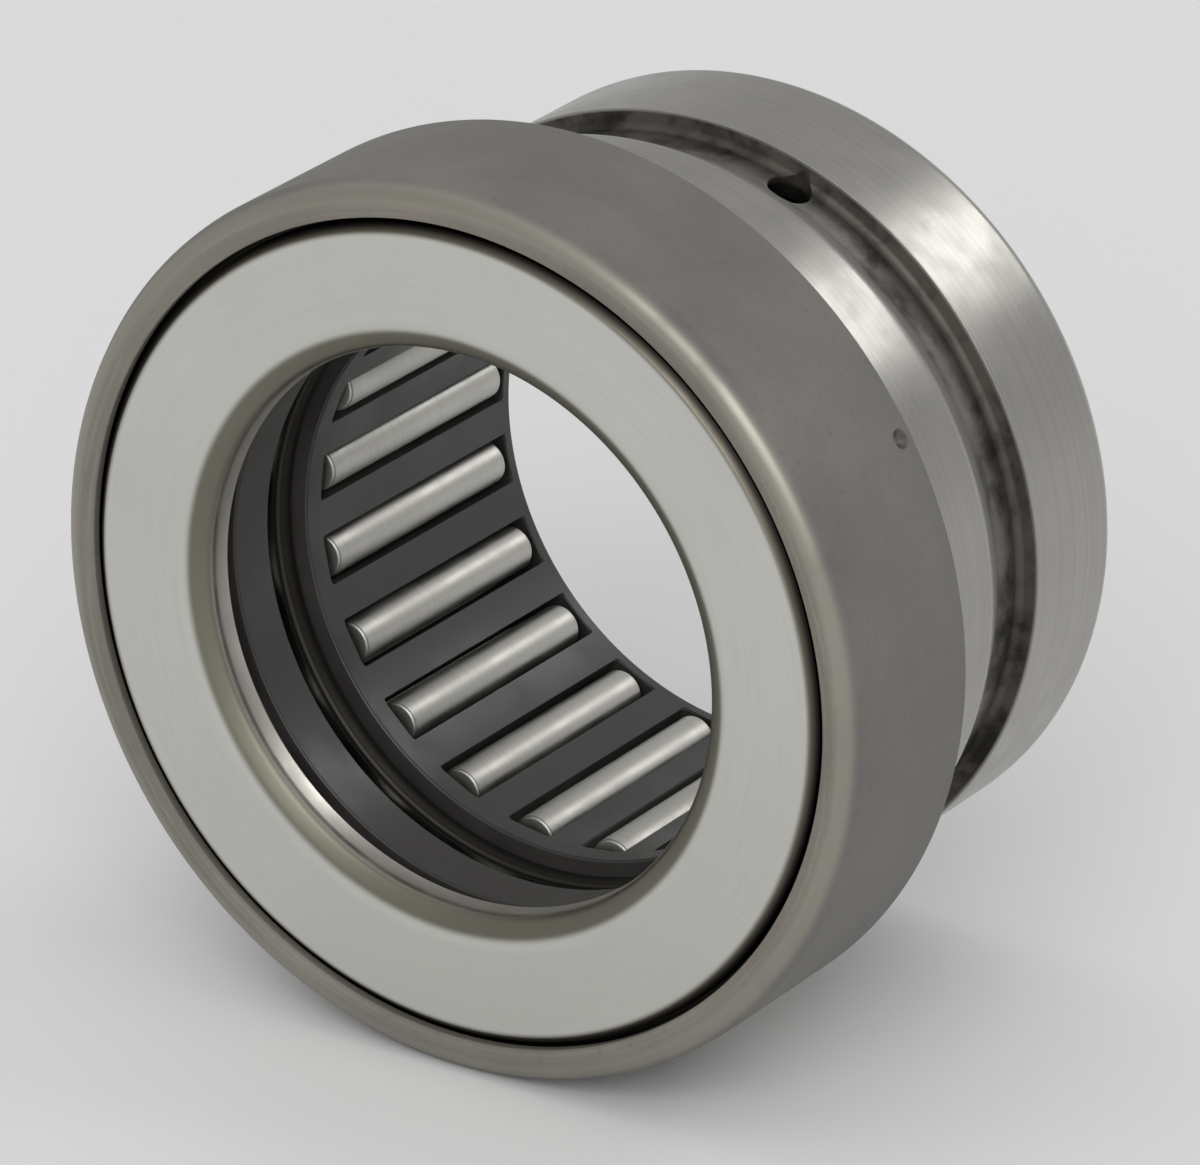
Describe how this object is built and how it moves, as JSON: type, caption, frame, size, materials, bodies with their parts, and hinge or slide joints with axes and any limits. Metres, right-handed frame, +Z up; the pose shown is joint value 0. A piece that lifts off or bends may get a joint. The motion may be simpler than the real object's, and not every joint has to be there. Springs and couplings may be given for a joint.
{
  "type": "combined needle roller and thrust bearing",
  "caption": "Machined needle roller bearing with a cylindrical roller thrust stage under a pressed end cap, for a shaft that carries radial and one-way axial load.",
  "frame": {"origin": "the middle of the bearing on its axis, half way between the crest of the cap's lip and the outer ring's rear face", "axes": "+Y along the bearing's axis towards the plain rear end, the capped thrust end faces -Y, +Z up as the bearing lies on its side"},
  "size_m": [0.0482, 0.03, 0.0482],
  "materials": {
    "ground_steel": "ground bearing steel with fine turning lines",
    "satin_steel": "satin ground bearing steel",
    "dark_steel": "matt dark grey pressed sheet steel",
    "cage_steel": "smooth charcoal oiled steel",
    "roller_steel": "bright honed bearing steel"
  },
  "bodies": {
    "outer_ring_and_cap": {"outer_ring": "ground_steel", "end_cap": "dark_steel"},
    "shaft_washer": {"shaft_washer": "satin_steel"},
    "thrust_cage": {"thrust_cage": "cage_steel"},
    "thrust_roller_01": {"thrust_roller_01": "roller_steel"},
    "thrust_roller_02": {"thrust_roller_02": "roller_steel"},
    "thrust_roller_03": {"thrust_roller_03": "roller_steel"},
    "thrust_roller_04": {"thrust_roller_04": "roller_steel"},
    "thrust_roller_05": {"thrust_roller_05": "roller_steel"},
    "thrust_roller_06": {"thrust_roller_06": "roller_steel"},
    "thrust_roller_07": {"thrust_roller_07": "roller_steel"},
    "thrust_roller_08": {"thrust_roller_08": "roller_steel"},
    "thrust_roller_09": {"thrust_roller_09": "roller_steel"},
    "thrust_roller_10": {"thrust_roller_10": "roller_steel"},
    "thrust_roller_11": {"thrust_roller_11": "roller_steel"},
    "thrust_roller_12": {"thrust_roller_12": "roller_steel"},
    "thrust_roller_13": {"thrust_roller_13": "roller_steel"},
    "thrust_roller_14": {"thrust_roller_14": "roller_steel"},
    "thrust_roller_15": {"thrust_roller_15": "roller_steel"},
    "thrust_roller_16": {"thrust_roller_16": "roller_steel"},
    "needle_cage": {"needle_cage": "cage_steel"},
    "needle_01": {"needle_01": "roller_steel"},
    "needle_02": {"needle_02": "roller_steel"},
    "needle_03": {"needle_03": "roller_steel"},
    "needle_04": {"needle_04": "roller_steel"},
    "needle_05": {"needle_05": "roller_steel"},
    "needle_06": {"needle_06": "roller_steel"},
    "needle_07": {"needle_07": "roller_steel"},
    "needle_08": {"needle_08": "roller_steel"},
    "needle_09": {"needle_09": "roller_steel"},
    "needle_10": {"needle_10": "roller_steel"},
    "needle_11": {"needle_11": "roller_steel"},
    "needle_12": {"needle_12": "roller_steel"},
    "needle_13": {"needle_13": "roller_steel"},
    "needle_14": {"needle_14": "roller_steel"},
    "needle_15": {"needle_15": "roller_steel"},
    "needle_16": {"needle_16": "roller_steel"},
    "needle_17": {"needle_17": "roller_steel"},
    "needle_18": {"needle_18": "roller_steel"},
    "needle_19": {"needle_19": "roller_steel"},
    "needle_20": {"needle_20": "roller_steel"},
    "needle_21": {"needle_21": "roller_steel"}
  },
  "joints": [
    {"name": "washer_spin", "type": "hinge", "parent": "outer_ring_and_cap", "child": "shaft_washer", "pos_m": [0, -0.01355, 0], "axis": [0, 1, 0], "continuous": true},
    {"name": "thrust_cage_spin", "type": "hinge", "parent": "outer_ring_and_cap", "child": "thrust_cage", "pos_m": [0, -0.0095, 0], "axis": [0, 1, 0], "continuous": true},
    {"name": "thrust_roller_01_roll", "type": "hinge", "parent": "thrust_cage", "child": "thrust_roller_01", "pos_m": [0.01912, -0.0095, 0.0038], "axis": [0.9808, 0, 0.1951], "continuous": true},
    {"name": "thrust_roller_02_roll", "type": "hinge", "parent": "thrust_cage", "child": "thrust_roller_02", "pos_m": [0.01621, -0.0095, 0.01083], "axis": [0.8315, 0, 0.5556], "continuous": true},
    {"name": "thrust_roller_03_roll", "type": "hinge", "parent": "thrust_cage", "child": "thrust_roller_03", "pos_m": [0.01083, -0.0095, 0.01621], "axis": [0.5556, 0, 0.8315], "continuous": true},
    {"name": "thrust_roller_04_roll", "type": "hinge", "parent": "thrust_cage", "child": "thrust_roller_04", "pos_m": [0.0038, -0.0095, 0.01912], "axis": [0.1951, 0, 0.9808], "continuous": true},
    {"name": "thrust_roller_05_roll", "type": "hinge", "parent": "thrust_cage", "child": "thrust_roller_05", "pos_m": [-0.0038, -0.0095, 0.01912], "axis": [-0.1951, 0, 0.9808], "continuous": true},
    {"name": "thrust_roller_06_roll", "type": "hinge", "parent": "thrust_cage", "child": "thrust_roller_06", "pos_m": [-0.01083, -0.0095, 0.01621], "axis": [-0.5556, 0, 0.8315], "continuous": true},
    {"name": "thrust_roller_07_roll", "type": "hinge", "parent": "thrust_cage", "child": "thrust_roller_07", "pos_m": [-0.01621, -0.0095, 0.01083], "axis": [-0.8315, 0, 0.5556], "continuous": true},
    {"name": "thrust_roller_08_roll", "type": "hinge", "parent": "thrust_cage", "child": "thrust_roller_08", "pos_m": [-0.01912, -0.0095, 0.0038], "axis": [-0.9808, 0, 0.1951], "continuous": true},
    {"name": "thrust_roller_09_roll", "type": "hinge", "parent": "thrust_cage", "child": "thrust_roller_09", "pos_m": [-0.01912, -0.0095, -0.0038], "axis": [-0.9808, 0, -0.1951], "continuous": true},
    {"name": "thrust_roller_10_roll", "type": "hinge", "parent": "thrust_cage", "child": "thrust_roller_10", "pos_m": [-0.01621, -0.0095, -0.01083], "axis": [-0.8315, 0, -0.5556], "continuous": true},
    {"name": "thrust_roller_11_roll", "type": "hinge", "parent": "thrust_cage", "child": "thrust_roller_11", "pos_m": [-0.01083, -0.0095, -0.01621], "axis": [-0.5556, 0, -0.8315], "continuous": true},
    {"name": "thrust_roller_12_roll", "type": "hinge", "parent": "thrust_cage", "child": "thrust_roller_12", "pos_m": [-0.0038, -0.0095, -0.01912], "axis": [-0.1951, 0, -0.9808], "continuous": true},
    {"name": "thrust_roller_13_roll", "type": "hinge", "parent": "thrust_cage", "child": "thrust_roller_13", "pos_m": [0.0038, -0.0095, -0.01912], "axis": [0.1951, 0, -0.9808], "continuous": true},
    {"name": "thrust_roller_14_roll", "type": "hinge", "parent": "thrust_cage", "child": "thrust_roller_14", "pos_m": [0.01083, -0.0095, -0.01621], "axis": [0.5556, 0, -0.8315], "continuous": true},
    {"name": "thrust_roller_15_roll", "type": "hinge", "parent": "thrust_cage", "child": "thrust_roller_15", "pos_m": [0.01621, -0.0095, -0.01083], "axis": [0.8315, 0, -0.5556], "continuous": true},
    {"name": "thrust_roller_16_roll", "type": "hinge", "parent": "thrust_cage", "child": "thrust_roller_16", "pos_m": [0.01912, -0.0095, -0.0038], "axis": [0.9808, 0, -0.1951], "continuous": true},
    {"name": "needle_cage_spin", "type": "hinge", "parent": "outer_ring_and_cap", "child": "needle_cage", "pos_m": [0, 0.0043, 0], "axis": [0, 1, 0], "continuous": true},
    {"name": "needle_01_roll", "type": "hinge", "parent": "needle_cage", "child": "needle_01", "pos_m": [0.01634, 0.0043, 0.00097], "axis": [0, 1, 0], "continuous": true},
    {"name": "needle_02_roll", "type": "hinge", "parent": "needle_cage", "child": "needle_02", "pos_m": [0.01533, 0.0043, 0.00574], "axis": [0, 1, 0], "continuous": true},
    {"name": "needle_03_roll", "type": "hinge", "parent": "needle_cage", "child": "needle_03", "pos_m": [0.01295, 0.0043, 0.01001], "axis": [0, 1, 0], "continuous": true},
    {"name": "needle_04_roll", "type": "hinge", "parent": "needle_cage", "child": "needle_04", "pos_m": [0.00943, 0.0043, 0.01338], "axis": [0, 1, 0], "continuous": true},
    {"name": "needle_05_roll", "type": "hinge", "parent": "needle_cage", "child": "needle_05", "pos_m": [0.00507, 0.0043, 0.01557], "axis": [0, 1, 0], "continuous": true},
    {"name": "needle_06_roll", "type": "hinge", "parent": "needle_cage", "child": "needle_06", "pos_m": [0.00025, 0.0043, 0.01637], "axis": [0, 1, 0], "continuous": true},
    {"name": "needle_07_roll", "type": "hinge", "parent": "needle_cage", "child": "needle_07", "pos_m": [-0.00458, 0.0043, 0.01571], "axis": [0, 1, 0], "continuous": true},
    {"name": "needle_08_roll", "type": "hinge", "parent": "needle_cage", "child": "needle_08", "pos_m": [-0.00901, 0.0043, 0.01367], "axis": [0, 1, 0], "continuous": true},
    {"name": "needle_09_roll", "type": "hinge", "parent": "needle_cage", "child": "needle_09", "pos_m": [-0.01264, 0.0043, 0.0104], "axis": [0, 1, 0], "continuous": true},
    {"name": "needle_10_roll", "type": "hinge", "parent": "needle_cage", "child": "needle_10", "pos_m": [-0.01514, 0.0043, 0.00622], "axis": [0, 1, 0], "continuous": true},
    {"name": "needle_11_roll", "type": "hinge", "parent": "needle_cage", "child": "needle_11", "pos_m": [-0.0163, 0.0043, 0.00148], "axis": [0, 1, 0], "continuous": true},
    {"name": "needle_12_roll", "type": "hinge", "parent": "needle_cage", "child": "needle_12", "pos_m": [-0.01601, 0.0043, -0.0034], "axis": [0, 1, 0], "continuous": true},
    {"name": "needle_13_roll", "type": "hinge", "parent": "needle_cage", "child": "needle_13", "pos_m": [-0.0143, 0.0043, -0.00796], "axis": [0, 1, 0], "continuous": true},
    {"name": "needle_14_roll", "type": "hinge", "parent": "needle_cage", "child": "needle_14", "pos_m": [-0.01132, 0.0043, -0.01183], "axis": [0, 1, 0], "continuous": true},
    {"name": "needle_15_roll", "type": "hinge", "parent": "needle_cage", "child": "needle_15", "pos_m": [-0.00733, 0.0043, -0.01464], "axis": [0, 1, 0], "continuous": true},
    {"name": "needle_16_roll", "type": "hinge", "parent": "needle_cage", "child": "needle_16", "pos_m": [-0.00269, 0.0043, -0.01615], "axis": [0, 1, 0], "continuous": true},
    {"name": "needle_17_roll", "type": "hinge", "parent": "needle_cage", "child": "needle_17", "pos_m": [0.00219, 0.0043, -0.01622], "axis": [0, 1, 0], "continuous": true},
    {"name": "needle_18_roll", "type": "hinge", "parent": "needle_cage", "child": "needle_18", "pos_m": [0.00687, 0.0043, -0.01486], "axis": [0, 1, 0], "continuous": true},
    {"name": "needle_19_roll", "type": "hinge", "parent": "needle_cage", "child": "needle_19", "pos_m": [0.01095, 0.0043, -0.01217], "axis": [0, 1, 0], "continuous": true},
    {"name": "needle_20_roll", "type": "hinge", "parent": "needle_cage", "child": "needle_20", "pos_m": [0.01405, 0.0043, -0.0084], "axis": [0, 1, 0], "continuous": true},
    {"name": "needle_21_roll", "type": "hinge", "parent": "needle_cage", "child": "needle_21", "pos_m": [0.0159, 0.0043, -0.00389], "axis": [0, 1, 0], "continuous": true}
  ],
  "couplings": [
    {"joint": "thrust_cage_spin", "follows": "washer_spin", "ratio": 0.5},
    {"joint": "thrust_roller_01_roll", "follows": "washer_spin", "ratio": 3.9},
    {"joint": "thrust_roller_02_roll", "follows": "washer_spin", "ratio": 3.9},
    {"joint": "thrust_roller_03_roll", "follows": "washer_spin", "ratio": 3.9},
    {"joint": "thrust_roller_04_roll", "follows": "washer_spin", "ratio": 3.9},
    {"joint": "thrust_roller_05_roll", "follows": "washer_spin", "ratio": 3.9},
    {"joint": "thrust_roller_06_roll", "follows": "washer_spin", "ratio": 3.9},
    {"joint": "thrust_roller_07_roll", "follows": "washer_spin", "ratio": 3.9},
    {"joint": "thrust_roller_08_roll", "follows": "washer_spin", "ratio": 3.9},
    {"joint": "thrust_roller_09_roll", "follows": "washer_spin", "ratio": 3.9},
    {"joint": "thrust_roller_10_roll", "follows": "washer_spin", "ratio": 3.9},
    {"joint": "thrust_roller_11_roll", "follows": "washer_spin", "ratio": 3.9},
    {"joint": "thrust_roller_12_roll", "follows": "washer_spin", "ratio": 3.9},
    {"joint": "thrust_roller_13_roll", "follows": "washer_spin", "ratio": 3.9},
    {"joint": "thrust_roller_14_roll", "follows": "washer_spin", "ratio": 3.9},
    {"joint": "thrust_roller_15_roll", "follows": "washer_spin", "ratio": 3.9},
    {"joint": "thrust_roller_16_roll", "follows": "washer_spin", "ratio": 3.9},
    {"joint": "needle_01_roll", "follows": "needle_cage_spin", "ratio": -14},
    {"joint": "needle_02_roll", "follows": "needle_cage_spin", "ratio": -14},
    {"joint": "needle_03_roll", "follows": "needle_cage_spin", "ratio": -14},
    {"joint": "needle_04_roll", "follows": "needle_cage_spin", "ratio": -14},
    {"joint": "needle_05_roll", "follows": "needle_cage_spin", "ratio": -14},
    {"joint": "needle_06_roll", "follows": "needle_cage_spin", "ratio": -14},
    {"joint": "needle_07_roll", "follows": "needle_cage_spin", "ratio": -14},
    {"joint": "needle_08_roll", "follows": "needle_cage_spin", "ratio": -14},
    {"joint": "needle_09_roll", "follows": "needle_cage_spin", "ratio": -14},
    {"joint": "needle_10_roll", "follows": "needle_cage_spin", "ratio": -14},
    {"joint": "needle_11_roll", "follows": "needle_cage_spin", "ratio": -14},
    {"joint": "needle_12_roll", "follows": "needle_cage_spin", "ratio": -14},
    {"joint": "needle_13_roll", "follows": "needle_cage_spin", "ratio": -14},
    {"joint": "needle_14_roll", "follows": "needle_cage_spin", "ratio": -14},
    {"joint": "needle_15_roll", "follows": "needle_cage_spin", "ratio": -14},
    {"joint": "needle_16_roll", "follows": "needle_cage_spin", "ratio": -14},
    {"joint": "needle_17_roll", "follows": "needle_cage_spin", "ratio": -14},
    {"joint": "needle_18_roll", "follows": "needle_cage_spin", "ratio": -14},
    {"joint": "needle_19_roll", "follows": "needle_cage_spin", "ratio": -14},
    {"joint": "needle_20_roll", "follows": "needle_cage_spin", "ratio": -14},
    {"joint": "needle_21_roll", "follows": "needle_cage_spin", "ratio": -14}
  ]
}
